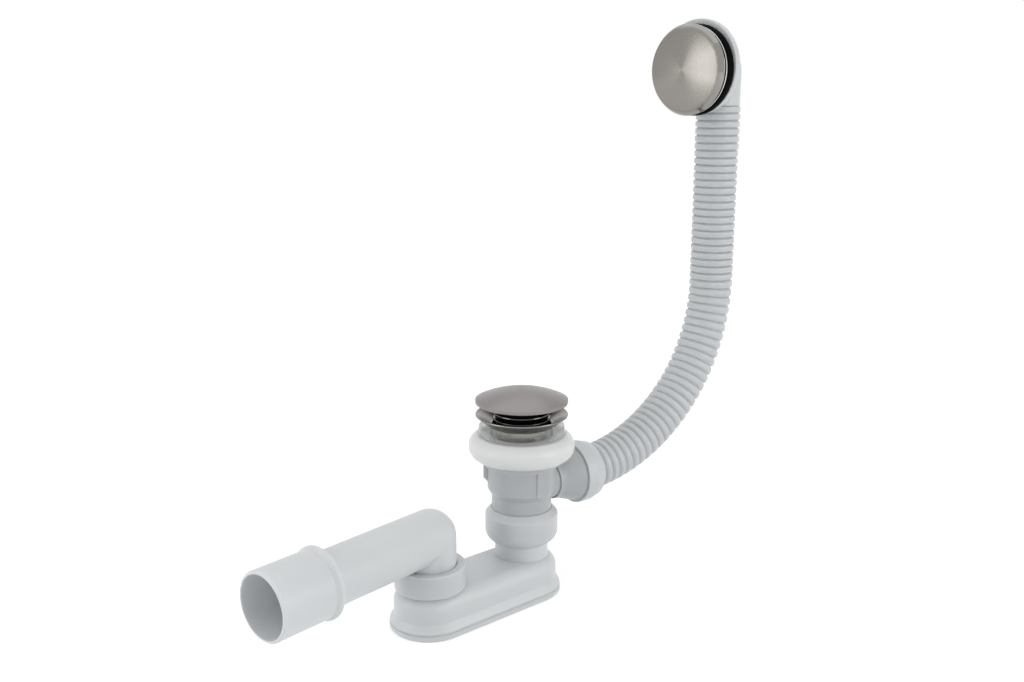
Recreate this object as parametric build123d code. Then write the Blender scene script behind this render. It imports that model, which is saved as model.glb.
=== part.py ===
from build123d import *
import math
import os

# A bath waste and overflow, in millimetres. The waste's upright axis is Z, the floor is z = 0, and +X
# points from the outlet's end to the overflow's end, along the overflow's level axis.

# Clearances
running_gap = 0.3        # between pieces that move on each other
fit_gap = 0.1            # between threads and other close fits that stay put

# Rounds on edges
moulded_round = 0.8      # plastic mouldings
nut_round = 1.2          # outer edges of nuts
metal_round = 0.5        # turned metal
pressed_round = 1.9      # bends of pressed metal
rubber_round = 1.6       # soft rings

# Turns about upright axes, in degrees
trap_turn = -3.5         # the trap's long axis, about the waste
outlet_turn = 4.8        # the outlet pipe, about the trap's outlet
overflow_turn = -8.0     # the branch and the hose, about the waste

# Trap: a flat shell, oval in plan, on a welded pan
trap_reach = 90.3        # from the inlet's axis to the outlet's
base_r = 31.0
base_height = 4.6
base_floor = 2.6
base_bevel = 1.1
trap_inset = 3.5         # the shell's upright wall inside the pan's rim
trap_wall = 2.4
flare_height = 7.4       # from the pan's rim up to the upright wall
flare_inset = 0.4        # the shell's foot inside the pan's rim
trap_height = 31.0
shoulder_round = 10.0

# Inlet neck and the nut that holds the waste on it
neck_r = 21.0
neck_wall = 2.4
dip_gap = 9.0            # from the pan's floor up to the dip tube's mouth
neck_flange_step = 2.4
neck_flange_thick = 3.7
inlet_nut_lift = 12.4    # from the trap's top to the nut's underside
inlet_nut_lip = 3.0
inlet_nut_height = 27.3
inlet_nut_r = 28.7
inlet_nut_foot_r = 22.6
inlet_nut_bowl = 4.5     # height of the bowl at the foot
inlet_nut_round = 8.5
inlet_nut_chamfer_r = 24.4
inlet_nut_chamfer = 5.0
inlet_gasket_thick = 2.7

# Outlet collar, its nut and the bend
pipe_r = 20.0
pipe_wall = 2.2
pipe_rise = 39.3         # from the trap's top to the level pipe's axis
collar_wall = 3.8
outlet_collar_height = 12.0
outlet_seal_thick = 3.4
outlet_nut_lip = 2.6
outlet_nut_wall = 2.6
ring_start = 101.9       # raised ring on the pipe, from the outlet's axis
ring_width = 2.6
ring_r = 26.2
ring_round = 1.0
spigot_r = 24.5
spigot_wall = 2.3
spigot_length = 45.5
spigot_flare = 3.0       # taper from the raised ring down to the spigot
spigot_lead = 1.2

# Waste body
tail_r = 23.6
tail_wall = 2.4
tail_length = 28.5
tail_cone = 5.1
body_r = 26.8
body_length = 23.3
body_flange_r = 30.0
body_flange_thick = 3.2
hub_r = 9.0
hub_drop = 10.3          # hub's top below the body's top
hub_height = 16.0
hub_rib = 2.4
hub_rib_height = 11.0
hub_ribs = 4
lug_r = 29.9
lug_width = 9.0
lug_height = 14.5
lug_chamfer = 4.2
lug_turn = 136.0         # lug on the far side, about the waste
pad_width = 11.5
pad_proud = 0.9          # how far the pad stands out of the body's round
pad_turn = -88.0         # flat pad beside the branch, from the branch
pad_round = 0.9

# Branch to the overflow and its union
branch_rise = 34.1       # from the tail's end to the branch's axis
branch_r = 15.2
branch_wall = 3.0
branch_collar_gap = 0.8  # from the body's round to the branch's collar
branch_collar_r = 16.6
branch_collar_width = 3.2
branch_end_r = 22.6
branch_cone_end = 50.0
branch_end_land = 1.5
branch_spigot_r = 19.6
branch_spigot = 4.0
branch_seal_thick = 2.0
branch_nut_r = 24.8
branch_nut_front_r = 22.6
branch_nut_length = 18.0
branch_nut_sides = 12
branch_nut_facet = 0.9   # how far the facets stand inside the round

# Corrugated hose: out level, one quarter bend, then straight up
hose_crest_r = 18.3
hose_groove_r = 16.5
hose_bore_r = 15.0
hose_pitch = 6.2
hose_reach = 203.5       # from the waste's axis to the hose's upright run
hose_top = 378.0
hose_flange_r = 19.6
hose_flange_thick = 3.0

# Bell washer and clear gasket on the waste's neck
washer_height = 20.7
washer_r = 41.5
washer_top_r = 35.5
washer_foot_r = 30.5
washer_belly = 3.8       # height of the belly's corner above the foot
washer_belly_round = 9.0
washer_shoulder = 5.0    # drop of the shoulder's corner below the top
washer_shoulder_round = 7.0
gasket_r = 33.5
gasket_thick = 7.2

# Metal cup with its flange and strainer
cup_r = 24.15
cup_wall = 1.0
flange_r = 36.0
flange_rim = 0.9
flange_rise = 8.9        # from the flange's seat to its rim's top
flange_seat_r = 25.8
flange_lip = 1.2
dish_rise = 1.7          # from the seat to the dish's mouth
dish_mouth_r = 25.0
mouth_round = 0.8
strainer_holes = 6
strainer_hole_r = 4.4
strainer_pcd_r = 15.6

# Latch cartridge
plug_travel = 8.5
housing_shank_r = 5.8
housing_shank = 14.0
housing_flange_thick = 2.0
housing_barrel_r = 8.2
housing_barrel = 24.8
housing_bore_r = 6.5
housing_floor = 4.0
housing_shank_wall = 1.2
housing_lip = 2.0
plunger_r = 4.0
plunger_collar = 5.0
guide_r = 3.2
guide_length = 17.0
plunger_reach = 13.0     # how far the pin goes up into the plug's core
spring_wire_r = 0.6
spring_turns = 7.0

# Plug
plug_r = 36.0
plug_rim = 2.6
plug_dome = 8.0
plug_shell = 1.2
plug_rim_width = 5.0
core_disc = 2.4
core_r = 19.0
core_wall = 2.2
core_foot_step = 1.6
core_foot = 2.0
core_boss_r = 7.0
seal_r = 22.8
seal_valley_r = 20.9
seal_ridges = 2
seal_ridge_drop = 7.4    # from the cap's underside to the first ridge
seal_ridge_pitch = 4.9
seal_ridge_width = 3.6

# Overflow head, measured towards the bath from the hose's upright axis
head_rise = 28.3         # from the hose's top to the head's axis
elbow_r = 17.6
elbow_wall = 2.4
hose_spigot = 18.0
hose_spigot_wall = 2.4
head_flange_r = 37.6
head_flange_lift = 2.5   # the flange's centre above the screw's axis
head_flange_thick = 6.0
head_flange_back = 25.0
head_flange_round = 1.6
head_hub_r = 6.5
head_hub_length = 18.0
head_rib = 2.4
head_gasket_r = 36.0
head_gasket_bore_r = 26.0
head_gasket_thick = 8.0
rosette_r = 35.0
rosette_thick = 1.2
rosette_holes = 8
rosette_hole_r = 3.6
rosette_pcd_r = 11.4
carrier_r = 33.6
carrier_wall = 3.0
carrier_depth = 3.4
carrier_arms = 4
carrier_arm = 5.0
carrier_hub_r = 8.5
screw_r = 3.0
screw_length = 24.0
screw_head_r = 5.4
screw_head = 3.2
screw_slot = 1.2         # width and depth of the driver slot
cap_gap = 1.8            # the dark slot between the rosette and the cap's back edge
cap_r = 36.0
cap_back_r = 34.9
cap_skirt = 1.9
cap_face_r = 33.4
cap_bevel = 3.6          # depth of the bevel round the face
cap_dome = 4.5
cap_shell = 1.0

# Heights that several pieces share
neck_flange_z = trap_height + inlet_nut_lift + inlet_nut_lip + running_gap
neck_top = neck_flange_z + neck_flange_thick
inlet_gasket_z = neck_top + running_gap
tail_end = inlet_gasket_z + inlet_gasket_thick
body_cone_z = tail_end + tail_length
body_z = body_cone_z + tail_cone
body_top = body_z + body_length
hub_top = body_top - hub_drop
washer_top = body_top + washer_height
flange_seat = washer_top + gasket_thick
flange_top = flange_seat + flange_rise
plug_z = flange_top + plug_travel + running_gap
seal_bottom = plug_z - seal_ridge_drop - seal_ridge_pitch * (seal_ridges - 1) - seal_ridge_width / 2
branch_z = tail_end + branch_rise
pipe_z = trap_height + pipe_rise
head_z = hose_top + head_rise

# Radii and places that several pieces share
trap_r = base_r - trap_inset
neck_bore_r = neck_r - neck_wall
neck_flange_r = neck_r + neck_flange_step
cup_bore_r = cup_r - cup_wall
tail_bore_r = tail_r - tail_wall
barrel_top = hub_top + cup_wall + housing_flange_thick + housing_barrel
collar_r = pipe_r + running_gap + collar_wall
branch_collar = body_r + branch_collar_gap
branch_spigot_end = branch_cone_end + branch_spigot
branch_spigot_bore_r = branch_spigot_r - branch_wall
hose_start = branch_spigot_end + branch_seal_thick
hose_flange_end = hose_start + hose_flange_thick
bend_r = hose_reach - hose_flange_end
bend_length = bend_r * math.pi / 2
hose_length = bend_length + hose_top - branch_z - bend_r
gasket_face = head_flange_back + head_flange_thick
rosette_back = gasket_face + head_gasket_thick
rosette_front = rosette_back + rosette_thick
cap_back = rosette_front + cap_gap
cap_rim = cap_back + cap_skirt


def profile(*corners):
    """Closed face through (radius, height) corners, a third number rounding its corner."""
    points = [corner[:2] for corner in corners]
    rounds = [corner[2] if len(corner) > 2 else 0 for corner in corners]
    return make_face(FilletPolyline(*points, radius=rounds, close=True))


def turned(*corners):
    """Solid turned about Z from a profile of (radius, height) corners."""
    return revolve(Plane.XZ * profile(*corners), Axis.Z)


def ring(outer, inner, bottom, top):
    """Plain ring about Z."""
    return turned((inner, bottom), (outer, bottom), (outer, top), (inner, top))


def disc(radius, bottom, top):
    """Plain disc about Z."""
    return ring(radius, 0, bottom, top)


def dome(radius, height, bottom):
    """Spherical cap about Z, on a flat base."""
    rim = (radius, bottom)
    crown = (0, bottom + height)
    sphere_r = (radius ** 2 + height ** 2) / (2 * height)
    arc = RadiusArc(rim, crown, -sphere_r)
    outline = [Line((0, bottom), rim), arc, Line(crown, (0, bottom))]
    return revolve(Plane.XZ * make_face(outline), Axis.Z)


def around(shape, count, start=0.0):
    """Copies of a shape, evenly spaced about Z."""
    return [Rot(0, 0, start + 360 / count * index) * shape for index in range(count)]


def oval(*corners):
    """Oval solid: a profile swept round the trap's two axes and along the straight between them."""
    half = profile(*corners)
    half_turn = revolve(Plane.XZ * half, Axis.Z, 180)
    side = extrude(Plane.YZ * half, -trap_reach)
    inlet_end = Rot(0, 0, -90) * half_turn
    outlet_end = Pos(-trap_reach, 0, 0) * Rot(0, 0, 90) * half_turn
    return inlet_end + side + mirror(side, Plane.XZ) + outlet_end


def elbow(radius, drop, run):
    """Round bar from below the origin up to it and out along -X, its corner rounded by its own radius."""
    upright = disc(radius, -drop, 0)
    level = to_bath * disc(radius, 0, run)
    return upright + level + Sphere(radius)


to_bath = Rot(0, -90, 0)                 # lays a piece turned about Z along -X
to_hose = Rot(0, 90, 0)                  # lays a piece turned about Z along +X
at_trap = Rot(0, 0, trap_turn)
at_outlet = at_trap * Pos(-trap_reach, 0, 0)
at_pipe = at_outlet * Rot(0, 0, outlet_turn - trap_turn) * Pos(0, 0, pipe_z)
at_branch = Rot(0, 0, overflow_turn) * Pos(0, 0, branch_z)
at_hose_top = Pos((Rot(0, 0, overflow_turn) * Pos(hose_reach, 0, 0)).position)
at_head = at_hose_top * Pos(0, 0, head_z)


def make_trap_base():
    pan = oval((0, 0), (base_r - base_bevel, 0), (base_r, base_bevel), (base_r, base_height), (0, base_height))
    inside_r = trap_r - trap_wall
    inside = oval((0, base_floor), (inside_r, base_floor, trap_wall / 2), (inside_r, base_height), (0, base_height))
    return at_trap * (pan - inside)


def make_trap_body():
    foot_r = base_r - flare_inset
    flare_top = base_height + flare_height
    inside_r = trap_r - trap_wall
    ceiling = trap_height - trap_wall
    shell = oval(
        (0, base_height),
        (foot_r, base_height),
        (foot_r, base_height + flare_height / 4, flare_height / 4),
        (trap_r, flare_top, flare_height / 4),
        (trap_r, trap_height, shoulder_round),
        (0, trap_height),
    )
    shell -= oval(
        (0, base_height),
        (inside_r, base_height),
        (inside_r, ceiling, shoulder_round - trap_wall),
        (0, ceiling),
    )
    mouth = base_floor + dip_gap
    neck = ring(neck_r, neck_bore_r, mouth, neck_top) + ring(neck_flange_r, neck_bore_r, neck_flange_z, neck_top)
    collar_top = trap_height + outlet_collar_height
    collar = ring(collar_r, pipe_r + running_gap, ceiling, collar_top)
    shell = shell - disc(neck_bore_r, ceiling, trap_height) + neck
    to_outlet = Pos(-trap_reach, 0, 0)
    shell = shell - to_outlet * disc(pipe_r - pipe_wall, ceiling, trap_height)
    collar = collar - disc(collar_r, ceiling, trap_height)
    return at_trap * (shell + to_outlet * collar)


def make_outlet_seal():
    bottom = trap_height + outlet_collar_height
    return at_outlet * ring(collar_r, pipe_r + running_gap, bottom, bottom + outlet_seal_thick)


def make_outlet_nut():
    thread_r = collar_r + fit_gap
    outer_r = thread_r + outlet_nut_wall
    bottom = trap_height + running_gap
    seat = trap_height + outlet_collar_height + outlet_seal_thick
    top = seat + outlet_nut_lip
    bore_r = pipe_r + running_gap
    nut = turned(
        (thread_r, bottom),
        (outer_r, bottom, moulded_round),
        (outer_r, top, nut_round),
        (bore_r, top, moulded_round),
        (bore_r, seat),
        (thread_r, seat),
    )
    return at_outlet * nut


def make_outlet_pipe():
    drop = pipe_rise - running_gap
    ring_end = ring_start + ring_width
    mouth = ring_end + spigot_length
    bore_r = pipe_r - pipe_wall
    spigot_bore_r = spigot_r - spigot_wall
    end = turned(
        (0, ring_start),
        (ring_r, ring_start, ring_round),
        (ring_r, ring_end, ring_round),
        (spigot_r, ring_end + spigot_flare),
        (spigot_r, mouth - spigot_lead),
        (spigot_r - spigot_lead, mouth),
        (0, mouth),
    )
    pipe = elbow(pipe_r, drop, ring_start) + to_bath * end
    pipe -= elbow(bore_r, drop, ring_end)
    pipe -= to_bath * disc(spigot_bore_r, ring_end, mouth)
    return at_pipe * pipe


def make_inlet_nut():
    bottom = trap_height + inlet_nut_lift
    seat = bottom + inlet_nut_lip
    top = bottom + inlet_nut_height
    lip_r = neck_r + running_gap
    thread_r = tail_r + fit_gap
    return turned(
        (lip_r, bottom),
        (inlet_nut_foot_r, bottom),
        (inlet_nut_r, bottom + inlet_nut_bowl, inlet_nut_round),
        (inlet_nut_r, top - inlet_nut_chamfer, nut_round),
        (inlet_nut_chamfer_r, top),
        (thread_r, top),
        (thread_r, seat),
        (lip_r, seat),
    )


def make_inlet_gasket():
    return ring(tail_r, neck_bore_r, inlet_gasket_z, tail_end)


def make_waste_body():
    seat_r = cup_r + fit_gap
    seat_step = seat_r - tail_bore_r
    hub_bottom = hub_top - hub_height
    outside = turned(
        (0, tail_end),
        (tail_r, tail_end),
        (tail_r, body_cone_z),
        (body_r, body_z, nut_round),
        (body_r, body_top - body_flange_thick),
        (body_flange_r, body_top - body_flange_thick),
        (body_flange_r, body_top, moulded_round),
        (0, body_top),
    )
    pad = Box(
        body_r + pad_proud, pad_width, body_length - body_flange_thick,
        align=(Align.MIN, Align.CENTER, Align.MIN),
    )
    pad = fillet(pad.edges().filter_by(Axis.Z).group_by(Axis.X)[-1], pad_round)
    pad = Pos(0, 0, body_z) * Rot(0, 0, overflow_turn + pad_turn) * pad
    lug = Pos(0, 0, body_top - lug_height - lug_chamfer) * Rot(0, 0, lug_turn) * lug_form()
    inside = turned(
        (0, tail_end),
        (tail_bore_r, tail_end),
        (tail_bore_r, hub_top - seat_step),
        (seat_r, hub_top),
        (seat_r, body_top),
        (0, body_top),
    )
    shell = outside + pad + lug + at_branch * branch_outside() - inside - at_branch * branch_bore()
    rib = Pos(0, 0, hub_top - hub_rib_height) * Box(
        (tail_r + tail_bore_r) / 2, hub_rib, hub_rib_height - seat_step,
        align=(Align.MIN, Align.CENTER, Align.MIN),
    )
    hub = disc(hub_r, hub_bottom, hub_top)
    for arm in around(rib, hub_ribs, overflow_turn + 180 / hub_ribs):
        hub += arm
    return shell + hub - disc(housing_shank_r + fit_gap, hub_bottom, hub_top)


def lug_form():
    """Grip lug standing out along +X, its underside chamfered."""
    side = Polyline(
        (0, 0),
        (lug_r - lug_chamfer, 0),
        (lug_r, lug_chamfer),
        (lug_r, lug_height + lug_chamfer),
        (0, lug_height + lug_chamfer),
        close=True,
    )
    return Pos(0, lug_width / 2, 0) * extrude(Plane.XZ * make_face(side), lug_width)


def branch_outside():
    """Branch along +X from the waste's axis: a neck, a collar and a cone, then the union's spigot."""
    form = turned(
        (0, 0),
        (branch_r, 0),
        (branch_r, branch_collar),
        (branch_collar_r, branch_collar),
        (branch_collar_r, branch_collar + branch_collar_width),
        (branch_end_r, branch_cone_end - branch_end_land),
        (branch_end_r, branch_cone_end),
        (branch_spigot_r, branch_cone_end),
        (branch_spigot_r, branch_spigot_end),
        (0, branch_spigot_end),
    )
    return to_hose * form


def branch_bore():
    """Way through the branch, widening with its cone."""
    neck_bore = branch_r - branch_wall
    form = turned(
        (0, 0),
        (neck_bore, 0),
        (neck_bore, branch_collar),
        (branch_spigot_bore_r, branch_cone_end),
        (branch_spigot_bore_r, branch_spigot_end),
        (0, branch_spigot_end),
    )
    return to_hose * form


def make_branch_seal():
    return at_branch * to_hose * ring(branch_spigot_r, branch_spigot_bore_r, branch_spigot_end, hose_start)


def make_branch_nut():
    thread_r = max(branch_spigot_r, hose_flange_r) + running_gap
    bore_r = hose_crest_r + 2 * running_gap
    back = branch_cone_end
    front = back + branch_nut_length
    seat = hose_flange_end + running_gap
    nut = turned(
        (thread_r, back),
        (branch_nut_r, back),
        (branch_nut_r, back + branch_nut_length / 2, nut_round),
        (branch_nut_front_r, front, nut_round),
        (bore_r, front, moulded_round),
        (bore_r, seat),
        (thread_r, seat),
    )
    facets = RegularPolygon(branch_nut_r + branch_nut_facet, branch_nut_sides)
    prism = Pos(0, 0, back) * extrude(facets, branch_nut_length)
    return at_branch * to_hose * (nut & prism)


def hose_frame(distance):
    """Plane across the hose at a distance along its centre line from the end flange."""
    if distance < bend_length:
        turn = distance / bend_r
        reach = hose_flange_end + bend_r * math.sin(turn)
        rise = bend_r * (1 - math.cos(turn))
    else:
        turn = math.pi / 2
        reach = hose_reach
        rise = bend_r + distance - bend_length
    return Plane((reach, 0, rise), x_dir=(0, 1, 0), z_dir=(math.cos(turn), 0, math.sin(turn)))


def make_overflow_hose():
    """Corrugated wall: a ruled skin over rings that step between crest and groove."""
    steps = 2 * round(hose_length / hose_pitch)
    rings = []
    for index in range(steps + 1):
        radius = hose_crest_r if index % 2 else hose_groove_r
        rings.append(hose_frame(hose_length * index / steps) * Circle(radius))
    skin = loft(rings, ruled=True)
    bend = JernArc((hose_flange_end, 0, 0), (1, 0, 0), bend_r, 90)
    rise = Line(bend @ 1, bend @ 1 + (0, hose_top - branch_z - bend_r, 0))
    route = Plane.XZ * (Line((hose_start, 0, 0), (hose_flange_end, 0, 0)) + bend + rise)
    bore = sweep(Plane((hose_start, 0, 0), x_dir=(0, 1, 0), z_dir=(1, 0, 0)) * Circle(hose_bore_r), route)
    flange = to_hose * disc(hose_flange_r, hose_start, hose_flange_end)
    return at_branch * (skin + flange - bore)


def make_lower_washer():
    bore_r = cup_r + fit_gap
    return turned(
        (bore_r, body_top),
        (washer_foot_r, body_top, rubber_round),
        (washer_r, body_top + washer_belly, washer_belly_round),
        (washer_r, washer_top - washer_shoulder, washer_shoulder_round),
        (washer_top_r, washer_top, rubber_round),
        (bore_r, washer_top),
    )


def make_upper_gasket():
    bore_r = cup_r + fit_gap
    return turned(
        (bore_r, washer_top),
        (gasket_r, washer_top, rubber_round),
        (gasket_r, flange_seat, rubber_round),
        (bore_r, flange_seat),
    )


def make_waste_cup():
    floor_top = hub_top + cup_wall
    rim_bottom = flange_top - flange_rim
    mouth = flange_seat + dish_rise
    cup = turned(
        (0, hub_top),
        (cup_r, hub_top, pressed_round),
        (cup_r, flange_seat),
        (flange_seat_r, flange_seat, pressed_round),
        (flange_r, rim_bottom, metal_round),
        (flange_r, flange_top, metal_round),
        (flange_r - flange_lip, flange_top, metal_round),
        (dish_mouth_r, mouth, pressed_round),
        (cup_bore_r, mouth - mouth_round),
        (cup_bore_r, floor_top, pressed_round - cup_wall),
        (0, floor_top),
    )
    cup -= disc(housing_shank_r + fit_gap, hub_top, floor_top)
    hole = Pos(strainer_pcd_r, 0, hub_top) * disc(strainer_hole_r, 0, cup_wall)
    for drain in around(hole, strainer_holes, overflow_turn):
        cup -= drain
    return cup


def make_cartridge_housing():
    seat = hub_top + cup_wall
    shoulder = seat + housing_flange_thick
    bottom = seat - housing_shank
    floor = bottom + housing_floor
    bore_bottom_r = housing_shank_r - housing_shank_wall
    return turned(
        (0, bottom),
        (housing_shank_r, bottom, metal_round),
        (housing_shank_r, seat),
        (hub_r, seat),
        (hub_r, shoulder),
        (housing_barrel_r, shoulder),
        (housing_barrel_r, barrel_top, metal_round),
        (plunger_r + running_gap, barrel_top),
        (plunger_r + running_gap, barrel_top - housing_lip),
        (housing_bore_r, barrel_top - housing_lip),
        (housing_bore_r, seat),
        (bore_bottom_r, seat),
        (bore_bottom_r, floor),
        (0, floor),
    )


def make_plunger():
    collar_top = barrel_top - housing_lip - running_gap
    collar_bottom = collar_top - plunger_collar
    boss_bottom = barrel_top + plug_travel + 2 * running_gap
    return turned(
        (0, collar_bottom - guide_length),
        (guide_r, collar_bottom - guide_length, metal_round),
        (guide_r, collar_bottom),
        (housing_bore_r - running_gap, collar_bottom, metal_round),
        (housing_bore_r - running_gap, collar_top, metal_round),
        (plunger_r, collar_top),
        (plunger_r, boss_bottom + plunger_reach, metal_round),
        (0, boss_bottom + plunger_reach),
    )


def make_plunger_spring():
    bottom = hub_top + cup_wall
    top = barrel_top - housing_lip - running_gap - plunger_collar
    height = top - bottom - 2 * spring_wire_r
    coil_r = housing_bore_r - running_gap - spring_wire_r
    coil = Helix(height / spring_turns, height, coil_r)
    wire = Plane(coil @ 0, z_dir=coil % 0) * RegularPolygon(spring_wire_r, 6)
    return Pos(0, 0, bottom + spring_wire_r) * sweep(wire, coil, is_frenet=True)


def make_plug_core():
    disc_top = plug_z + core_disc
    boss_bottom = barrel_top + plug_travel + 2 * running_gap
    foot = seal_bottom - core_foot
    inner_r = core_r - core_wall
    core = turned(
        (inner_r, foot),
        (core_r + core_foot_step, foot, moulded_round),
        (core_r + core_foot_step, seal_bottom),
        (core_r, seal_bottom),
        (core_r, plug_z),
        (plug_r - plug_rim_width, plug_z),
        (plug_r - plug_rim_width, disc_top),
        (0, disc_top),
        (0, plug_z),
        (inner_r, plug_z),
    )
    core += disc(core_boss_r, boss_bottom, plug_z)
    return core - disc(plunger_r, boss_bottom, boss_bottom + plunger_reach)


def make_plug_seal():
    """Sleeve on the plug's core, with rounded ridges round it."""
    sleeve = ring(seal_valley_r, core_r, seal_bottom, plug_z)
    ridge_step = seal_r - seal_valley_r
    ridge_half = seal_ridge_width / 2
    for index in range(seal_ridges):
        middle = plug_z - seal_ridge_drop - seal_ridge_pitch * index
        sleeve += turned(
            (core_r, middle - ridge_half),
            (seal_valley_r, middle - ridge_half),
            (seal_r, middle - ridge_half / 2, ridge_step / 2),
            (seal_r, middle + ridge_half / 2, ridge_step / 2),
            (seal_valley_r, middle + ridge_half),
            (core_r, middle + ridge_half),
        )
    return sleeve


def make_plug_cap():
    rim_top = plug_z + plug_rim
    inner_r = plug_r - plug_rim_width
    rim = turned(
        (inner_r, plug_z),
        (plug_r, plug_z, metal_round),
        (plug_r, rim_top),
        (inner_r, rim_top),
    )
    crown = dome(plug_r, plug_dome, rim_top)
    hollow_height = plug_dome * (inner_r / plug_r) ** 2 - plug_shell / 2
    hollow = dome(inner_r, hollow_height, rim_top) + disc(inner_r, plug_z + core_disc, rim_top)
    return rim + crown - hollow


def make_overflow_body():
    bore_r = elbow_r - elbow_wall
    spigot_r_outer = hose_bore_r - running_gap
    spigot_bore_r = spigot_r_outer - hose_spigot_wall
    flange = turned(
        (0, head_flange_back),
        (head_flange_r, head_flange_back, head_flange_round),
        (head_flange_r, gasket_face, head_flange_round / 2),
        (0, gasket_face),
    )
    body = elbow(elbow_r, head_rise, head_flange_back) + Pos(0, 0, head_flange_lift) * to_bath * flange
    body += disc(spigot_r_outer, -head_rise - hose_spigot, -head_rise)
    body -= elbow(bore_r, head_rise - elbow_wall, gasket_face)
    body -= disc(spigot_bore_r, -head_rise - hose_spigot, 0)
    hub_back = gasket_face - head_hub_length
    hub = disc(head_hub_r, hub_back, gasket_face)
    rib = Pos(0, 0, hub_back) * Box(
        2 * bore_r + elbow_wall, head_rib, head_hub_length - head_rib,
        align=(Align.CENTER, Align.CENTER, Align.MIN),
    )
    hub = hub + rib - disc(screw_r, hub_back, gasket_face)
    return at_head * (body + to_bath * hub)


def make_overflow_gasket():
    gasket = turned(
        (head_gasket_bore_r, gasket_face),
        (head_gasket_r, gasket_face, rubber_round),
        (head_gasket_r, rosette_back, rubber_round),
        (head_gasket_bore_r, rosette_back),
    )
    return at_head * to_bath * gasket


def make_overflow_rosette():
    plate = turned(
        (screw_r, rosette_back),
        (rosette_r, rosette_back),
        (rosette_r, rosette_front, metal_round),
        (screw_r, rosette_front),
    )
    hole = Pos(rosette_pcd_r, 0, 0) * disc(rosette_hole_r, rosette_back, rosette_front)
    for drain in around(hole, rosette_holes):
        plate -= drain
    return at_head * to_bath * plate


def make_cap_carrier():
    front = rosette_front + carrier_depth
    carrier = ring(carrier_r, carrier_r - carrier_wall, rosette_front, front)
    arm = Pos(0, 0, rosette_front) * Box(
        carrier_r - carrier_wall / 2, carrier_arm, carrier_depth,
        align=(Align.MIN, Align.CENTER, Align.MIN),
    )
    for spoke in around(arm, carrier_arms, 180 / carrier_arms):
        carrier += spoke
    carrier += disc(carrier_hub_r, rosette_front, front)
    carrier -= disc(screw_r, rosette_front, front)
    return at_head * to_bath * carrier


def make_fixing_screw():
    seat = rosette_front + carrier_depth
    screw = turned(
        (0, seat - screw_length),
        (screw_r, seat - screw_length, metal_round),
        (screw_r, seat),
        (screw_head_r, seat),
        (screw_head_r, seat + screw_head, nut_round),
        (0, seat + screw_head),
    )
    slot = Pos(0, 0, seat + screw_head) * Box(2 * screw_head_r, screw_slot, 2 * screw_slot)
    return at_head * to_bath * (screw - slot)


def make_overflow_cap():
    face = cap_rim + cap_bevel
    inner_r = cap_face_r - cap_shell
    ring_form = turned(
        (cap_back_r - cap_shell, cap_back),
        (cap_back_r, cap_back),
        (cap_r, cap_rim, metal_round),
        (cap_face_r, face),
        (inner_r, face),
        (inner_r, face - cap_shell),
        (cap_r - cap_shell, cap_rim),
    )
    hollow_height = cap_dome * (inner_r / cap_face_r) ** 2 - cap_shell
    crown = dome(cap_face_r, cap_dome, face) - dome(inner_r, hollow_height, face)
    return at_head * to_bath * (ring_form + crown)


nodes = {
    "trap_base": make_trap_base,
    "trap_body": make_trap_body,
    "outlet_seal": make_outlet_seal,
    "outlet_nut": make_outlet_nut,
    "outlet_pipe": make_outlet_pipe,
    "inlet_nut": make_inlet_nut,
    "inlet_gasket": make_inlet_gasket,
    "waste_body": make_waste_body,
    "branch_seal": make_branch_seal,
    "branch_nut": make_branch_nut,
    "overflow_hose": make_overflow_hose,
    "lower_washer": make_lower_washer,
    "upper_gasket": make_upper_gasket,
    "waste_cup": make_waste_cup,
    "cartridge_housing": make_cartridge_housing,
    "plunger": make_plunger,
    "plunger_spring": make_plunger_spring,
    "plug_core": make_plug_core,
    "plug_seal": make_plug_seal,
    "plug_cap": make_plug_cap,
    "overflow_body": make_overflow_body,
    "overflow_gasket": make_overflow_gasket,
    "overflow_rosette": make_overflow_rosette,
    "cap_carrier": make_cap_carrier,
    "fixing_screw": make_fixing_screw,
    "overflow_cap": make_overflow_cap,
}

os.makedirs("parts", exist_ok=True)
for name, make in nodes.items():
    export_step(make(), f"parts/{name}.step")
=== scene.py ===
import math

import bmesh
import bpy
from bpy.props import FloatProperty, FloatVectorProperty, IntProperty, PointerProperty
from mathutils import Matrix, Vector


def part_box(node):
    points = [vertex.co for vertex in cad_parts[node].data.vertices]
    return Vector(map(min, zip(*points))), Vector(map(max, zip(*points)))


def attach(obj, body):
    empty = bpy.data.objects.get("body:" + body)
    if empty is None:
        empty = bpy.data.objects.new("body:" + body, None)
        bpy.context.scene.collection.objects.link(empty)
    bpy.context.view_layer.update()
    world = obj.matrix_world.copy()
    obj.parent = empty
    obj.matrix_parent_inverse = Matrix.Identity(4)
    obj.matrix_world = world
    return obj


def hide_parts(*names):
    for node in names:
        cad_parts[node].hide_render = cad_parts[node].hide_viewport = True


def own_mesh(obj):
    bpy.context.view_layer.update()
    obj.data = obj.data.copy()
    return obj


bl_info = {
    "name": "Bath Waste and Overflow",
    "version": (1, 0, 0),
    "blender": (4, 5, 0),
    "location": "View3D > Sidebar > Bath Waste",
    "description": "Dresses a click-clack bath waste with its trap and overflow hose",
    "category": "Object",
}

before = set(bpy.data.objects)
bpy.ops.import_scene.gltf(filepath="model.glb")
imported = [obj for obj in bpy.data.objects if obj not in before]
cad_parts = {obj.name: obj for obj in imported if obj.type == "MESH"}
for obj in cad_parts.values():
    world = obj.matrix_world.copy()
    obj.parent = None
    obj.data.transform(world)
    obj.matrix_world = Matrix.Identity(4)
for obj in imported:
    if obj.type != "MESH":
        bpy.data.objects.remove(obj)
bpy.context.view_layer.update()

MM = 0.001
FULL_TURN = 2 * math.pi
QUARTER_TURN = math.pi / 2
X_AXIS = (1, 0, 0)
Z_AXIS = (0, 0, 1)

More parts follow.
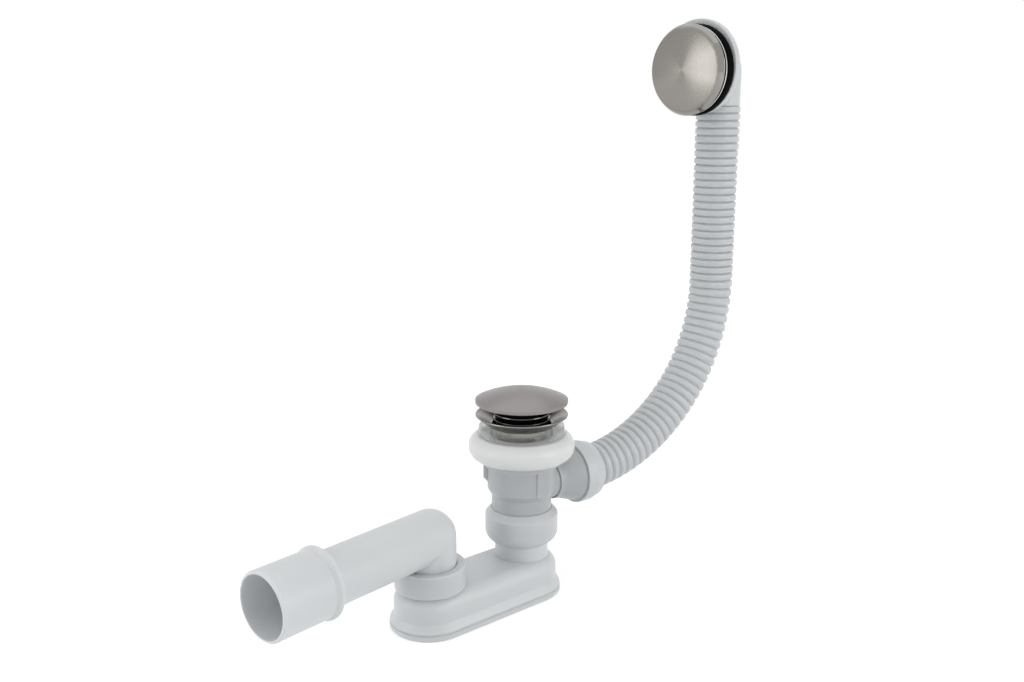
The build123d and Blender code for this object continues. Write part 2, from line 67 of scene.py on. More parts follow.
CREASE = math.radians(28)        # edges that turn more than this stay sharp
METAL_CREASE = math.radians(50)  # the same on pressed metal, whose edges are all rounded
ROUND_STEPS = 6                  # faces across a rounded corner
MERGE_GAP = 0.001 * MM           # points nearer than this are one point
SEAT_GAP = 0.05 * MM             # keeps the clear ring's faces off the faces it is clamped between

MOULDED = 0.38                   # roughness of injection-moulded plastic
BLOWN = 0.4                      # roughness of the blown hose
POLISHED = 0.07                  # roughness of a polished edge

PHOTO_WIDTH = 1024               # pixels
FOCAL_LENGTH = 1080              # in the photo's pixels
SENSOR_WIDTH = 36                # mm
CAMERA_PLACE = (-0.5627, -0.5719, 0.3956)
CAMERA_DIP = math.radians(13.4)  # below level
CAMERA_HEADING = math.radians(-44)
VIEW_DEPTH = 50                  # metres that the camera sees

ROOM_LIGHT = 0.52                # strength of the even light from all sides
FLOOR_RADIUS = 6.0
FLOOR_DROP = 0.1 * MM            # keeps the floor off the trap's underside


def linear(hex_colour):
    """Linear RGBA from an sRGB hex colour."""
    channels = [int(hex_colour[place:place + 2], 16) / 255 for place in (0, 2, 4)]
    return [c / 12.92 if c <= 0.04045 else ((c + 0.055) / 1.055) ** 2.4 for c in channels] + [1.0]


def colour(name, description, hex_colour):
    """Colour property with an sRGB hex default."""
    return FloatVectorProperty(
        name=name, description=description, subtype="COLOR", size=4, min=0, max=1,
        default=linear(hex_colour),
    )


def length(name, description, millimetres):
    """Length property with a default in millimetres."""
    return FloatProperty(
        name=name, description=description, unit="LENGTH", min=0, default=millimetres * MM
    )


class BathWasteSizes(bpy.types.PropertyGroup):
    """Sizes of the pieces that are modelled here."""

    hose_pitch: length("Hose Pitch", "From one corrugation to the next on the upright run", 6.2)
    hose_bend_pitch: length("Hose Bend Pitch", "From one corrugation to the next in the bend", 7.35)
    hose_crest: length("Hose Crest", "Radius of the hose's crests", 18.3)
    hose_crest_width: length("Hose Crest Width", "Length of one flat crest along the hose", 3.8)
    hose_groove: length("Hose Groove", "Radius of the hose's grooves", 16.4)
    hose_ease: length("Hose Ease", "Small round at each side of a crest", 0.25)
    hose_bore: length("Hose Bore", "Radius inside the hose", 15.0)
    hose_flange: length("Hose Flange", "Thickness of the hose's end flange", 3.0)
    neck: length("Neck", "Radius of the bore that fits the waste's neck", 24.25)
    washer_foot: length("Washer Foot", "Radius of the bell washer's foot", 30.5)
    washer_top: length("Washer Top", "Radius of the bell washer's flat top", 35.5)
    washer_belly: length("Washer Belly", "Height of the belly's corner above the foot", 3.8)
    washer_shoulder: length("Washer Shoulder", "Drop of the shoulder's corner below the top", 5.0)
    belly_cut: length("Belly Round", "How much of each side the belly's round takes", 6.4)
    shoulder_cut: length("Shoulder Round", "How much of each side the shoulder's round takes", 3.3)
    soft_edge: length("Soft Edge", "Round on the edges of soft rings", 1.4)
    parting_line: length("Parting Line", "Height of the flash round soft rings", 0.06)
    seal_bore: length("Plug Seal Bore", "Radius inside the plug's seal", 19.0)
    seal_sleeve: length("Plug Seal Sleeve", "Radius between the plug seal's ridges", 20.9)
    seal_drop: length("First Ridge", "From the plug's cap down to the seal's first ridge", 7.4)
    seal_pitch: length("Ridge Pitch", "From the first ridge to the second", 4.9)
    seal_width: length("Ridge Width", "Height of one ridge", 2.6)
    seal_lean: length("Ridge Lean", "How far a ridge's face leans in towards its top", 0.3)
    seal_edge: length("Ridge Edge", "Round on a ridge's edges", 0.4)
    head_bore: length("Overflow Gasket Bore", "Radius inside the overflow's gasket", 26.0)
    cap_face: length("Overflow Cap Face", "Radius of the brushed face inside the polished bevel", 33.4)
    hose_sides: IntProperty(name="Hose Sides", description="Faces round the hose", min=12, default=80)
    turned_sides: IntProperty(
        name="Turned Sides", description="Faces round turned rings", min=24, default=160
    )


class BathWasteColours(bpy.types.PropertyGroup):
    """Colours of the finishes."""

    trap: colour("Trap", "White plastic of the trap and its outlet", "DADDDF")
    fittings: colour("Fittings", "White plastic of the nuts and the overflow's elbow", "D0D3D5")
    # The waste's white is the same plastic made darker: painted shade for the shade the washer casts on
    # the waste's body
    waste: colour("Waste Body", "White plastic of the waste's body, darkened as painted shade", "BABDBF")
    hose: colour("Hose", "Corrugated hose", "CACDCF")
    washer: colour("Washer", "White rubber", "E2E3E3")
    clear: colour("Clear Gasket", "Clear silicone", "B4B9B6")
    rubber: colour("Rubber", "Black rubber", "070708")
    satin: colour("Satin Metal", "Brushed nickel of the overflow's cap", "8C8984")
    plug: colour("Plug Metal", "Satin nickel of the plug's cap", "8E8A89")
    pressed: colour("Pressed Metal", "Pressing of the waste's flange", "918F8B")
    bevel: colour("Polished Bevel", "Polished edge round the overflow's cap", "8F8D89")
    polish: colour("Polished Metal", "Bright nickel", "D9D8D5")
    brass: colour("Brass", "Turned brass", "B8975A")


def sizes():
    """The scene's sizes."""
    return bpy.context.scene.bath_waste_sizes


def colours():
    """The scene's colours."""
    return bpy.context.scene.bath_waste_colours


def add(tree, kind, inputs=None, **settings):
    """Adds a node with its settings; an input is a value, or a socket to link from."""
    node = tree.nodes.new(kind)
    for name, value in settings.items():
        setattr(node, name, value)
    for socket, value in (inputs or {}).items():
        if isinstance(value, bpy.types.NodeSocket):
            tree.links.new(value, node.inputs[socket])
        else:
            node.inputs[socket].default_value = value
    return node


def per_metre(millimetres):
    """Pattern scale that gives features of a size in millimetres."""
    return 1 / (millimetres * MM)


def new_material(name):
    """Empty material and its node tree."""
    material = bpy.data.materials.new(name)
    material.use_nodes = True
    material.node_tree.nodes.clear()
    return material, material.node_tree


def output(tree, shader):
    """Ends a material's tree with a shader."""
    add(tree, "ShaderNodeOutputMaterial", {"Surface": shader.outputs[0]})


def toned(tint, share):
    """A colour made darker, to a share of its light."""
    return [channel * share for channel in tint[:3]] + [1.0]


def moulded_plastic(name, tint, rough):
    """Injection-moulded polypropylene: an even semi-matt skin with soft highlights, a slight orange-peel
    texture, and faint cloudy patches where the melt cooled at different rates."""
    material, tree = new_material(name)
    place = add(tree, "ShaderNodeTexCoord").outputs["Object"]
    cloud = add(tree, "ShaderNodeTexNoise", {"Vector": place, "Scale": per_metre(24), "Detail": 3.0})
    skin_tint = add(
        tree, "ShaderNodeMix", {0: cloud.outputs["Fac"], 6: tint, 7: toned(tint, 0.94)}, data_type="RGBA"
    )
    gloss = add(tree, "ShaderNodeMapRange", {
        "Value": cloud.outputs["Fac"], "To Min": rough - 0.05, "To Max": rough + 0.05,
    })
    # Real orange peel is about 0.3 mm; it is drawn coarser so that it shows
    peel = add(tree, "ShaderNodeTexNoise", {"Vector": place, "Scale": per_metre(0.9), "Detail": 2.0})
    skin = add(
        tree, "ShaderNodeBump", {"Height": peel.outputs["Fac"], "Strength": 0.06, "Distance": 0.2 * MM}
    )
    shader = add(tree, "ShaderNodeBsdfPrincipled", {
        "Base Color": skin_tint.outputs[2],
        "Roughness": gloss.outputs["Result"],
        "IOR": 1.49,
        "Subsurface Weight": 0.6,
        "Subsurface Radius": (1, 1, 1),
        "Subsurface Scale": 5 * MM,
        "Normal": skin.outputs["Normal"],
    })
    output(tree, shader)
    return material


def white_rubber():
    """Soft white moulded rubber: light enters its skin, so its shading is softer than plastic's."""
    material, tree = new_material("White rubber")
    place = add(tree, "ShaderNodeTexCoord").outputs["Object"]
    cloud = add(tree, "ShaderNodeTexNoise", {"Vector": place, "Scale": per_metre(18), "Detail": 2.0})
    tint = add(
        tree, "ShaderNodeMix",
        {0: cloud.outputs["Fac"], 6: colours().washer, 7: toned(colours().washer, 0.95)},
        data_type="RGBA",
    )
    gloss = add(
        tree, "ShaderNodeMapRange", {"Value": cloud.outputs["Fac"], "To Min": 0.3, "To Max": 0.4}
    )
    # The mould's grain is about 0.2 mm; it is drawn coarser so that it shows
    grain = add(tree, "ShaderNodeTexNoise", {"Vector": place, "Scale": per_metre(0.7), "Detail": 2.0})
    skin = add(
        tree, "ShaderNodeBump", {"Height": grain.outputs["Fac"], "Strength": 0.05, "Distance": 0.2 * MM}
    )
    shader = add(tree, "ShaderNodeBsdfPrincipled", {
        "Base Color": tint.outputs[2],
        "Roughness": gloss.outputs["Result"],
        "IOR": 1.47,
        "Subsurface Weight": 1.0,
        "Subsurface Radius": (1, 1, 1),
        "Subsurface Scale": 8 * MM,
        "Normal": skin.outputs["Normal"],
    })
    output(tree, shader)
    return material


def clear_silicone():
    """Clear cast silicone: the neck shows through its side, which clouds to grey-green where it curves
    away, and its flat faces are clear."""
    material, tree = new_material("Clear silicone")
    coordinates = add(tree, "ShaderNodeTexCoord")
    haze = add(tree, "ShaderNodeTexNoise", {
        "Vector": coordinates.outputs["Object"], "Scale": per_metre(4), "Detail": 2.0,
    })
    gloss = add(
        tree, "ShaderNodeMapRange", {"Value": haze.outputs["Fac"], "To Min": 0.06, "To Max": 0.16}
    )
    edge = add(tree, "ShaderNodeLayerWeight", {"Blend": 0.5})
    limb = add(tree, "ShaderNodeMapRange", {
        "Value": edge.outputs["Facing"], "From Min": 0.2, "From Max": 0.5, "To Min": 0.03, "To Max": 0.62,
    })
    slope = add(tree, "ShaderNodeSeparateXYZ", {0: coordinates.outputs["Normal"]})
    flat = add(tree, "ShaderNodeMath", {0: slope.outputs["Z"]}, operation="ABSOLUTE")
    cloud = add(tree, "ShaderNodeMapRange", {
        "Value": flat.outputs[0], "To Min": limb.outputs["Result"], "To Max": 0.02,
    })
    shader = add(tree, "ShaderNodeBsdfPrincipled", {
        "Base Color": colours().clear,
        "Roughness": gloss.outputs["Result"],
        "IOR": 1.41,
        "Alpha": cloud.outputs["Result"],
    })
    output(tree, shader)
    return material


def black_moulding(name, rough, sheen):
    """Black rubber or plastic: deep black, with a faint bloom in patches and a weak or strong sheen."""
    material, tree = new_material(name)
    place = add(tree, "ShaderNodeTexCoord").outputs["Object"]
    bloom = add(tree, "ShaderNodeTexNoise", {"Vector": place, "Scale": per_metre(6), "Detail": 4.0})
    tint = add(
        tree, "ShaderNodeMix",
        {0: bloom.outputs["Fac"], 6: colours().rubber, 7: toned(colours().rubber, 0.6)},
        data_type="RGBA",
    )
    gloss = add(tree, "ShaderNodeMapRange", {
        "Value": bloom.outputs["Fac"], "To Min": rough - 0.04, "To Max": rough + 0.04,
    })
    shader = add(tree, "ShaderNodeBsdfPrincipled", {
        "Base Color": tint.outputs[2],
        "Roughness": gloss.outputs["Result"],
        "IOR": 1.52,
        "Specular IOR Level": sheen,
    })
    output(tree, shader)
    return material


def turned_metal(name, metal, rough, centre, axis, line_width, anisotropy, face=None):
    """Metal finished on a lathe: fine rings about its axis, of a width in millimetres, stretch each
    highlight into a fan. A face's radius, where it has one, ends the brushing, and the edge beyond it is
    polished bright. Real brushing is finer than 0.1 mm and is drawn coarser so that it shows."""
    material, tree = new_material(name)
    place = add(tree, "ShaderNodeTexCoord").outputs["Object"]
    across = Vector((1, 1, 1)) - Vector(axis)
    from_axis = add(tree, "ShaderNodeMapping", {
        "Vector": place, "Location": -across * centre, "Scale": across,
    }).outputs["Vector"]
    radius = add(tree, "ShaderNodeVectorMath", {0: from_axis}, operation="LENGTH").outputs["Value"]
    lines = add(
        tree, "ShaderNodeTexNoise",
        {"W": radius, "Scale": per_metre(line_width), "Detail": 3.0}, noise_dimensions="1D",
    ).outputs["Fac"]
    tint = add(
        tree, "ShaderNodeMix", {0: lines, 6: metal, 7: toned(metal, 0.8)}, data_type="RGBA"
    ).outputs[2]
    gloss = add(
        tree, "ShaderNodeMapRange", {"Value": lines, "To Min": rough * 0.85, "To Max": rough * 1.15}
    ).outputs["Result"]
    if face:
        edge = add(tree, "ShaderNodeMapRange", {
            "Value": radius, "From Min": face - 0.2 * MM, "From Max": face + 0.2 * MM,
        }).outputs["Result"]
        tint = add(
            tree, "ShaderNodeMix", {0: edge, 6: tint, 7: colours().bevel}, data_type="RGBA"
        ).outputs[2]
        gloss = add(tree, "ShaderNodeMix", {0: edge, 2: gloss, 3: POLISHED}).outputs[0]
    grooves = add(tree, "ShaderNodeBump", {"Height": lines, "Strength": 0.05, "Distance": 0.05 * MM})
    outward = add(
        tree, "ShaderNodeVectorTransform", {"Vector": from_axis},
        vector_type="VECTOR", convert_from="OBJECT", convert_to="WORLD",
    )
    shader = add(tree, "ShaderNodeBsdfPrincipled", {
        "Base Color": tint,
        "Metallic": 1.0,
        "Roughness": gloss,
        "Anisotropic": anisotropy,
        "Tangent": outward.outputs["Vector"],
        "Normal": grooves.outputs["Normal"],
    })
    output(tree, shader)
    return material


def middle(node):
    """Middle of a CAD node's box."""
    low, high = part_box(node)
    return (low + high) / 2


def new_piece(name, bm, material, body, replaced):
    """Object from a bmesh, dressed, riding on its body and standing for its CAD node."""
    mesh = bpy.data.meshes.new(name)
    bm.to_mesh(mesh)
    bm.free()
    piece = bpy.data.objects.new(name, mesh)
    bpy.context.scene.collection.objects.link(piece)
    piece.data.materials.append(material)
    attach(piece, body)
    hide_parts(replaced)
    return piece


def shade(bm, crease=CREASE):
    """Smooth faces, with sharp edges where they turn more than the crease angle."""
    for face in bm.faces:
        face.smooth = True
    for edge in bm.edges:
        edge.smooth = edge.calc_face_angle(0) < crease


def skinned(node, material, body, crease=CREASE):
    """Piece on a copy of a CAD node's mesh: its loose triangles joined, then shaded as one skin."""
    bm = bmesh.new()
    bm.from_mesh(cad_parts[node].data)
    bmesh.ops.remove_doubles(bm, verts=bm.verts, dist=MERGE_GAP)
    shade(bm, crease)
    piece = new_piece(f"{node}_skin", bm, material, body, node)
    even = piece.modifiers.new("Even Flats", "WEIGHTED_NORMAL")
    even.keep_sharp = True
    return piece


def dress(node, material):
    """Gives a CAD node that stays its finish."""
    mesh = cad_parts[node].data
    mesh.materials.clear()
    mesh.materials.append(material)


def flash(radius, along, height):
    """Corners of the fine flash that a mould's parting line leaves round a ring."""
    slope = 2 * height
    return (radius, along - slope, 0), (radius + height, along, 0), (radius, along + slope, 0)


def turned(corners, centre, axis):
    """Bmesh of a ring turned about an axis through a centre, from corners of a radius, a height along the
    axis and how much of each side the corner's round takes."""
    bm = bmesh.new()
    points = [bm.verts.new((radius, 0, along)) for radius, along, _ in corners]
    bm.faces.new(points)
    for point, (_, _, rounding) in zip(points, corners):
        if rounding:
            bmesh.ops.bevel(
                bm, geom=[point], offset=rounding, offset_type="OFFSET", segments=ROUND_STEPS,
                profile=0.5, affect="VERTICES", material=-1,
            )
    bmesh.ops.delete(bm, geom=bm.faces[:], context="FACES_ONLY")
    bmesh.ops.spin(
        bm, geom=bm.verts[:] + bm.edges[:], cent=(0, 0, 0), axis=Z_AXIS, angle=FULL_TURN,
        steps=sizes().turned_sides, use_merge=True,
    )
    bmesh.ops.remove_doubles(bm, verts=bm.verts, dist=MERGE_GAP)
    turn = Vector(Z_AXIS).rotation_difference(Vector(axis)).to_matrix().to_4x4()
    bmesh.ops.transform(bm, matrix=Matrix.Translation(centre) @ turn, verts=bm.verts)
    bmesh.ops.recalc_face_normals(bm, faces=bm.faces)
    shade(bm)
    return bm


def corrugations(begin, run, pitch):
    """Stations of the corrugations on one run of the hose, each a distance along it and a radius. One
    corrugation is half a V groove, a flat crest with eased sides, and half a groove."""
    size = sizes()
    count = round(run / pitch)
    half_groove = (run / count - size.hose_crest_width) / 2
    crest_end = half_groove + size.hose_crest_width
    eased = size.hose_crest - size.hose_ease / 2
    wave = (
        (0, size.hose_groove),
        (half_groove, eased),
        (half_groove + size.hose_ease, size.hose_crest),
        (crest_end - size.hose_ease, size.hose_crest),
        (crest_end, eased),
    )
    return [
        (begin + run * index / count + along, radius)
        for index in range(count)
        for along, radius in wave
    ]


def swept(stations, across):
    """Bmesh of a closed skin through round stations, from a function that gives the frame across the route
    at a distance along it."""
    bm = bmesh.new()
    distance, radius = stations[0]
    place = across(distance)
    bmesh.ops.create_circle(bm, segments=sizes().hose_sides, radius=radius, matrix=place)
    first_edges = bm.edges[:]
    edges = first_edges
    for distance, next_radius in stations[1:]:
        grown = bmesh.ops.extrude_edge_only(bm, edges=edges)["geom"]
        ring = {item for item in grown if isinstance(item, bmesh.types.BMVert)}
        edges = [
            item for item in grown
            if isinstance(item, bmesh.types.BMEdge) and ring.issuperset(item.verts)
        ]
        next_place = across(distance)
        move = next_place @ Matrix.Scale(next_radius / radius, 4) @ place.inverted()
        bmesh.ops.transform(bm, matrix=move, verts=list(ring))
        place = next_place
        radius = next_radius
    bmesh.ops.bridge_loops(bm, edges=edges + first_edges)
    bmesh.ops.recalc_face_normals(bm, faces=bm.faces)
    shade(bm)
    return bm


class BATHWASTE_OT_mouldings(bpy.types.Operator):
    """Dress the trap, outlet, waste body, nuts and overflow elbow in moulded white plastic"""

    bl_idname = "bathwaste.mouldings"
    bl_label = "White Mouldings"

    def execute(self, context):
        white = moulded_plastic("White trap plastic", colours().trap, MOULDED)
        fitting = moulded_plastic("White fitting plastic", colours().fittings, MOULDED)
        # The waste body's darker white is painted shade, standing in for the shade under the washer
        shade_darkened_white = moulded_plastic("White waste plastic with painted shade", colours().waste, MOULDED)
        for node, plastic, body in (
            ("trap_base", white, "trap"),
            ("trap_body", white, "trap"),
            ("outlet_nut", fitting, "trap"),
            ("outlet_pipe", white, "outlet"),
            ("waste_body", shade_darkened_white, "waste"),
            ("inlet_nut", fitting, "waste"),
            ("branch_nut", fitting, "waste"),
            ("overflow_body", fitting, "waste"),
        ):
            skinned(node, plastic, body)
        return {"FINISHED"}


class BATHWASTE_OT_hose(bpy.types.Operator):
    """Model the corrugated overflow hose along its quarter bend and its upright run"""

    bl_idname = "bathwaste.hose"
    bl_label = "Overflow Hose"

    def execute(self, context):
        size = sizes()
        points = [vertex.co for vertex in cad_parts["overflow_hose"].data.vertices]
        _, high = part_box("overflow_hose")
        level_z = middle("branch_seal").z
        upright = Vector((high.x - size.hose_crest, middle("overflow_gasket").y, 0))
        ahead = upright.normalized()
        up = Vector(Z_AXIS)
        side = up.cross(ahead)
        start = min(point.dot(ahead) for point in points)
        flange_top = max(point.z for point in points if point.dot(ahead) < start + size.hose_flange / 2)
        flange_radius = flange_top - level_z
        bend = upright.length - start - size.hose_flange
        bend_length = bend * QUARTER_TURN
        upright_length = high.z - level_z - bend
        total = bend_length + upright_length

        def across(distance):
            """Frame across the hose, its Z along the hose, at a distance from the flange's face."""
            turn = min(max(distance, 0) / bend, QUARTER_TURN)
            level = start + size.hose_flange + bend * math.sin(turn) + min(distance, 0)
            rise = bend * (1 - math.cos(turn)) + max(distance - bend_length, 0)
            along = ahead * math.cos(turn) + up * math.sin(turn)
            place = ahead * level + up * (level_z + rise)
            turned_frame = Matrix((side, along.cross(side), along)).transposed().to_4x4()
            return Matrix.Translation(place) @ turned_frame

        outside = [
            (-size.hose_flange, flange_radius),
            (0, flange_radius),
            *corrugations(0, bend_length, size.hose_bend_pitch),
            *corrugations(bend_length, upright_length, size.hose_pitch),
            (total, size.hose_groove),
        ]
        # The bore is smooth, with a ring for about every other corrugation
        rings = round(total / size.hose_pitch / 2)
        inside = [(total * index / rings, size.hose_bore) for index in range(rings, -1, -1)]
        inside.append((-size.hose_flange, size.hose_bore))
        plastic = moulded_plastic("Corrugated polypropylene", colours().hose, BLOWN)
        hose = swept(outside + inside, across)
        new_piece("corrugated_hose", hose, plastic, "waste", "overflow_hose")
        return {"FINISHED"}


class BATHWASTE_OT_sealing_rings(bpy.types.Operator):
    """Model the white bell washer and the clear ring that seal the waste to the bath's floor"""

    bl_idname = "bathwaste.sealing_rings"
    bl_label = "Bath Sealing Rings"

    def execute(self, context):
        size = sizes()
        low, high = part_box("lower_washer")
        radius = (high.x - low.x) / 2
        washer = turned((
            (size.neck, low.z, 0),
            (size.washer_foot, low.z, size.soft_edge / 2),
            (radius, low.z + size.washer_belly, size.belly_cut),
            *flash(radius, (low.z + high.z) / 2 + size.soft_edge / 2, size.parting_line),
            (radius, high.z - size.washer_shoulder, size.shoulder_cut),
            (size.washer_top, high.z, size.soft_edge / 2),
            (size.neck, high.z, 0),
        ), Vector(), Z_AXIS)
        new_piece("bell_washer", washer, white_rubber(), "waste", "lower_washer")

        low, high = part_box("upper_gasket")
        radius = (high.x - low.x) / 2
        bottom = low.z + SEAT_GAP
        top = high.z - SEAT_GAP
        ring = turned((
            (size.neck + SEAT_GAP, bottom, 0),
            (radius, bottom, size.soft_edge),
            (radius, top, size.soft_edge),
            (size.neck + SEAT_GAP, top, 0),
        ), Vector(), Z_AXIS)
        new_piece("clear_gasket", ring, clear_silicone(), "waste", "upper_gasket")
        return {"FINISHED"}


class BATHWASTE_OT_waste_metal(bpy.types.Operator):
    """Dress the waste's polished flange and the plug's satin cap"""

    bl_idname = "bathwaste.waste_metal"
    bl_label = "Waste Flange and Plug Cap"

    def execute(self, context):
        axis_place = middle("plug_cap")
        satin = turned_metal(
            "Satin nickel on the plug", colours().plug, rough=0.34,
            centre=axis_place, axis=Z_AXIS, line_width=0.5, anisotropy=0.5,
        )
        pressed = turned_metal(
            "Nickel pressing", colours().pressed, rough=0.2,
            centre=axis_place, axis=Z_AXIS, line_width=0.8, anisotropy=0.2,
        )
        skinned("waste_cup", pressed, "waste", METAL_CREASE)
        skinned("plug_cap", satin, "plug", METAL_CREASE)
        return {"FINISHED"}


class BATHWASTE_OT_plug_inside(bpy.types.Operator):
    """Model the plug's ridged seal and dress its core"""

    bl_idname = "bathwaste.plug_inside"
    bl_label = "Plug Seal and Core"

    def execute(self, context):
        size = sizes()
        low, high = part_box("plug_seal")
        radius = (high.x - low.x) / 2
        corners = [(size.seal_bore, low.z, 0)]
        for ridge in (1, 0):
            ridge_middle = high.z - size.seal_drop - size.seal_pitch * ridge
            corners += [
                (size.seal_sleeve, ridge_middle - size.seal_width / 2, 0),
                (radius, ridge_middle - size.seal_width / 4, size.seal_edge),
                (radius - size.seal_lean, ridge_middle + size.seal_width / 4, size.seal_edge),
                (size.seal_sleeve, ridge_middle + size.seal_width / 2, 0),
            ]
        corners += [(size.seal_sleeve, high.z, 0), (size.seal_bore, high.z, 0)]
        sleeve = turned(corners, Vector(), Z_AXIS)
        rubber = black_moulding("Ridged black rubber", rough=0.11, sheen=1.0)
        new_piece("ridged_seal", sleeve, rubber, "plug", "plug_seal")
        nylon = black_moulding("Black nylon", rough=0.34, sheen=0.3)
        skinned("plug_core", nylon, "plug")
        return {"FINISHED"}


class BATHWASTE_OT_cartridge(bpy.types.Operator):
    """Dress the click cartridge, its spring and the rings that are hidden in the unions"""

    bl_idname = "bathwaste.cartridge"
    bl_label = "Cartridge and Union Seals"

    def execute(self, context):
        axis_place = middle("cartridge_housing")
        brass = turned_metal(
            "Turned brass", colours().brass, rough=0.22,
            centre=axis_place, axis=Z_AXIS, line_width=0.4, anisotropy=0.3,
        )
        steel = turned_metal(
            "Drawn steel", colours().polish, rough=0.2,
            centre=axis_place, axis=Z_AXIS, line_width=0.4, anisotropy=0.3,
        )
        rubber = black_moulding("Black union rubber", rough=0.4, sheen=0.3)
        dress("cartridge_housing", brass)
        dress("plunger", brass)
        for node in ("outlet_seal", "inlet_gasket", "branch_seal"):
            dress(node, rubber)

        # The spring gets a mesh of its own; the real spring shortens by as much as the plug goes down
        spring = skinned("plunger_spring", steel, "waste")
        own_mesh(spring)
        return {"FINISHED"}


class BATHWASTE_OT_overflow_face(bpy.types.Operator):
    """Model the overflow's gasket and dress its cap, carrier, rosette and screw"""

    bl_idname = "bathwaste.overflow_face"
    bl_label = "Overflow Face"

    def execute(self, context):
        size = sizes()
        face_place = middle("overflow_cap")
        satin = turned_metal(
            "Satin nickel on the overflow", colours().satin, rough=0.28,
            centre=face_place, axis=X_AXIS, line_width=0.5, anisotropy=0.75, face=size.cap_face,
        )
        bright = turned_metal(
            "Polished nickel", colours().polish, rough=0.1,
            centre=face_place, axis=X_AXIS, line_width=0.6, anisotropy=0.0,
        )
        carrier = black_moulding("Black carrier plastic", rough=0.5, sheen=0.02)
        skinned("overflow_cap", satin, "waste", METAL_CREASE)
        skinned("overflow_rosette", bright, "waste")
        skinned("cap_carrier", carrier, "waste")
        dress("fixing_screw", bright)

        low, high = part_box("overflow_gasket")
        radius = (high.z - low.z) / 2
        half = (high.x - low.x) / 2
        gasket = turned((
            (size.head_bore, -half, 0),
            (radius, -half, size.soft_edge),
            *flash(radius, 0, size.parting_line),
            (radius, half, size.soft_edge),
            (size.head_bore, half, 0),
        ), middle("overflow_gasket"), X_AXIS)
        rubber = black_moulding("Matt black rubber", rough=0.55, sheen=0.02)
        new_piece("wall_gasket", gasket, rubber, "waste", "overflow_gasket")
        return {"FINISHED"}


def backdrop_rays(tree):
    """1 for rays that should see the white backdrop itself: from the camera, off metal and through
    silicone."""
    path = add(tree, "ShaderNodeLightPath")
    seen = add(
        tree, "ShaderNodeMath",
        {0: path.outputs["Is Camera Ray"], 1: path.outputs["Is Glossy Ray"]}, operation="MAXIMUM",
    )
    return add(
        tree, "ShaderNodeMath",
        {0: seen.outputs[0], 1: path.outputs["Is Transmission Ray"]}, operation="MAXIMUM",
    ).outputs[0]


def paper_floor():
    """White studio paper: matt, lifted to white where it is seen, so that only soft shadow shows on it."""
    material, tree = new_material("White studio paper")
    place = add(tree, "ShaderNodeTexCoord").outputs["Object"]
    fibre = add(tree, "ShaderNodeTexNoise", {"Vector": place, "Scale": per_metre(40), "Detail": 2.0})
    tint = add(
        tree, "ShaderNodeMix",
        {0: fibre.outputs["Fac"], 6: linear("F0F0F0"), 7: linear("EDEDED")}, data_type="RGBA",
    )
    paper = add(tree, "ShaderNodeBsdfDiffuse", {"Color": tint.outputs[2]})
    # The lift grows with the distance from the part, where the lamps' light falls off
    reach = add(tree, "ShaderNodeVectorMath", {0: place}, operation="LENGTH")
    far = add(tree, "ShaderNodeMapRange", {
        "Value": reach.outputs["Value"], "From Min": 0.3, "From Max": 2.5, "To Min": 0.42, "To Max": 0.8,
    })
    lift = add(
        tree, "ShaderNodeMath", {0: backdrop_rays(tree), 1: far.outputs["Result"]}, operation="MULTIPLY"
    )
    glow = add(tree, "ShaderNodeEmission", {"Strength": lift.outputs[0]})
    both = add(tree, "ShaderNodeAddShader", {0: paper.outputs[0], 1: glow.outputs[0]})
    output(tree, both)
    return material


def studio_world(level):
    """Even light at a plain level, with a white backdrop behind it."""
    world = bpy.data.worlds.new("Studio")
    world.use_nodes = True
    tree = world.node_tree
    tree.nodes.clear()
    strength = add(
        tree, "ShaderNodeMapRange", {"Value": backdrop_rays(tree), "To Min": level, "To Max": 1.0}
    )
    sky = add(tree, "ShaderNodeBackground", {
        "Color": linear("FFFFFF"), "Strength": strength.outputs["Result"],
    })
    add(tree, "ShaderNodeOutputWorld", {"Surface": sky.outputs[0]})
    return world


def softbox(name, place, target, width, watts):
    """Square area lamp that looks at a target."""
    lamp = bpy.data.lights.new(name, "AREA")
    lamp.shape = "SQUARE"
    lamp.size = width
    lamp.energy = watts
    holder = bpy.data.objects.new(name, lamp)
    holder.location = place
    holder.rotation_euler = (Vector(target) - Vector(place)).to_track_quat("-Z", "Y").to_euler()
    bpy.context.scene.collection.objects.link(holder)
    return holder


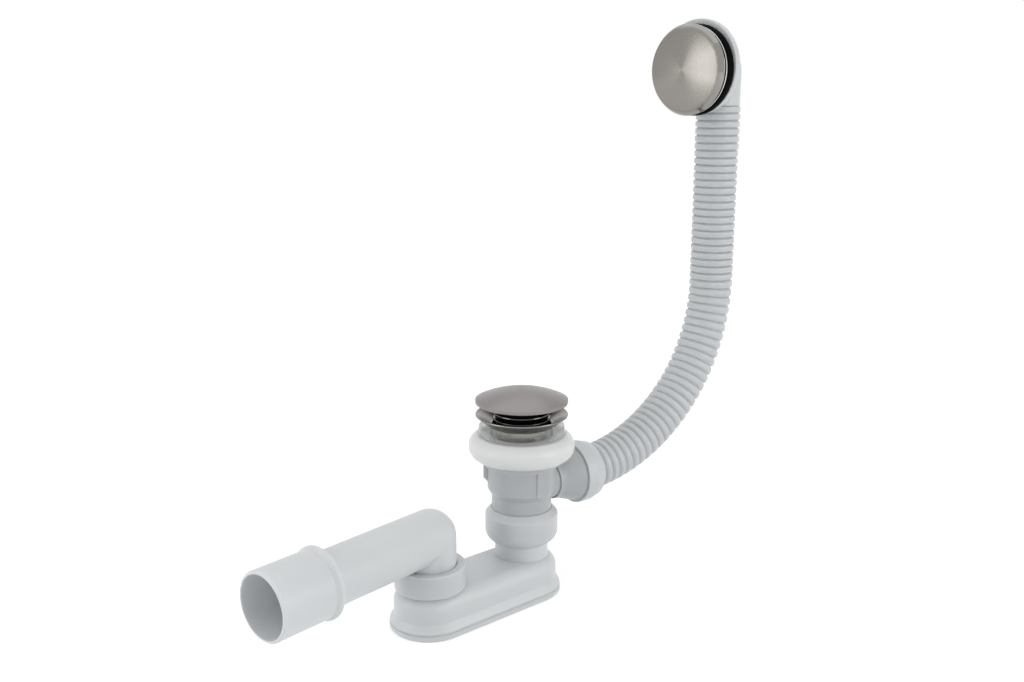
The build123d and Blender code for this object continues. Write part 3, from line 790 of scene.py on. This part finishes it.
class BATHWASTE_OT_stage(bpy.types.Operator):
    """Lay the floor, light it and place the camera"""

    bl_idname = "bathwaste.stage"
    bl_label = "Stage"

    def execute(self, context):
        scene = context.scene
        bm = bmesh.new()
        bmesh.ops.create_circle(
            bm, cap_ends=True, segments=96, radius=FLOOR_RADIUS,
            matrix=Matrix.Translation((0, 0, -FLOOR_DROP)),
        )
        mesh = bpy.data.meshes.new("studio_floor")
        bm.to_mesh(mesh)
        bm.free()
        floor = bpy.data.objects.new("studio_floor", mesh)
        floor.data.materials.append(paper_floor())
        scene.collection.objects.link(floor)

        scene.world = studio_world(ROOM_LIGHT)
        whole = (0.05, 0, 0.2)
        cap = (0.16, -0.03, 0.4)
        softbox("front", place=(0.6, -1.9, 0.72), target=whole, width=1.0, watts=12.5)
        softbox("side", place=(-1.5, 0.45, 0.55), target=cap, width=0.9, watts=7)
        softbox("top", place=(0.1, 0.2, 2.1), target=whole, width=3.0, watts=12.5)

        lens = bpy.data.cameras.new("photo_camera")
        lens.sensor_fit = "HORIZONTAL"
        lens.sensor_width = SENSOR_WIDTH
        lens.lens = SENSOR_WIDTH * FOCAL_LENGTH / PHOTO_WIDTH
        lens.clip_end = VIEW_DEPTH
        camera = bpy.data.objects.new("photo_camera", lens)
        camera.location = CAMERA_PLACE
        camera.rotation_euler = (QUARTER_TURN - CAMERA_DIP, 0, CAMERA_HEADING)
        scene.collection.objects.link(camera)
        scene.camera = camera
        scene.view_settings.view_transform = "Standard"
        return {"FINISHED"}


class BATHWASTE_PT_panel(bpy.types.Panel):
    """Sidebar list of the pieces and their sizes and colours"""

    bl_idname = "BATHWASTE_PT_panel"
    bl_label = "Bath Waste and Overflow"
    bl_space_type = "VIEW_3D"
    bl_region_type = "UI"
    bl_category = "Bath Waste"

    def draw(self, context):
        layout = self.layout
        for group in (context.scene.bath_waste_sizes, context.scene.bath_waste_colours):
            column = layout.column(align=True)
            for name in group.__annotations__:
                column.prop(group, name)
        for operator in OPERATORS:
            layout.operator(operator.bl_idname)


OPERATORS = (
    BATHWASTE_OT_mouldings,
    BATHWASTE_OT_hose,
    BATHWASTE_OT_sealing_rings,
    BATHWASTE_OT_waste_metal,
    BATHWASTE_OT_plug_inside,
    BATHWASTE_OT_cartridge,
    BATHWASTE_OT_overflow_face,
    BATHWASTE_OT_stage,
)
CLASSES = (BathWasteSizes, BathWasteColours) + OPERATORS + (BATHWASTE_PT_panel,)


def register():
    """Adds the classes, and the sizes and colours to the scene."""
    for cls in CLASSES:
        bpy.utils.register_class(cls)
    bpy.types.Scene.bath_waste_sizes = PointerProperty(type=BathWasteSizes)
    bpy.types.Scene.bath_waste_colours = PointerProperty(type=BathWasteColours)


def unregister():
    """Takes them away again."""
    del bpy.types.Scene.bath_waste_colours
    del bpy.types.Scene.bath_waste_sizes
    for cls in reversed(CLASSES):
        bpy.utils.unregister_class(cls)


def main():
    """Builds the dressed part and its stage."""
    register()
    bpy.ops.bathwaste.mouldings()
    bpy.ops.bathwaste.hose()
    bpy.ops.bathwaste.sealing_rings()
    bpy.ops.bathwaste.waste_metal()
    bpy.ops.bathwaste.plug_inside()
    bpy.ops.bathwaste.cartridge()
    bpy.ops.bathwaste.overflow_face()
    bpy.ops.bathwaste.stage()


if __name__ == "__main__":
    main()
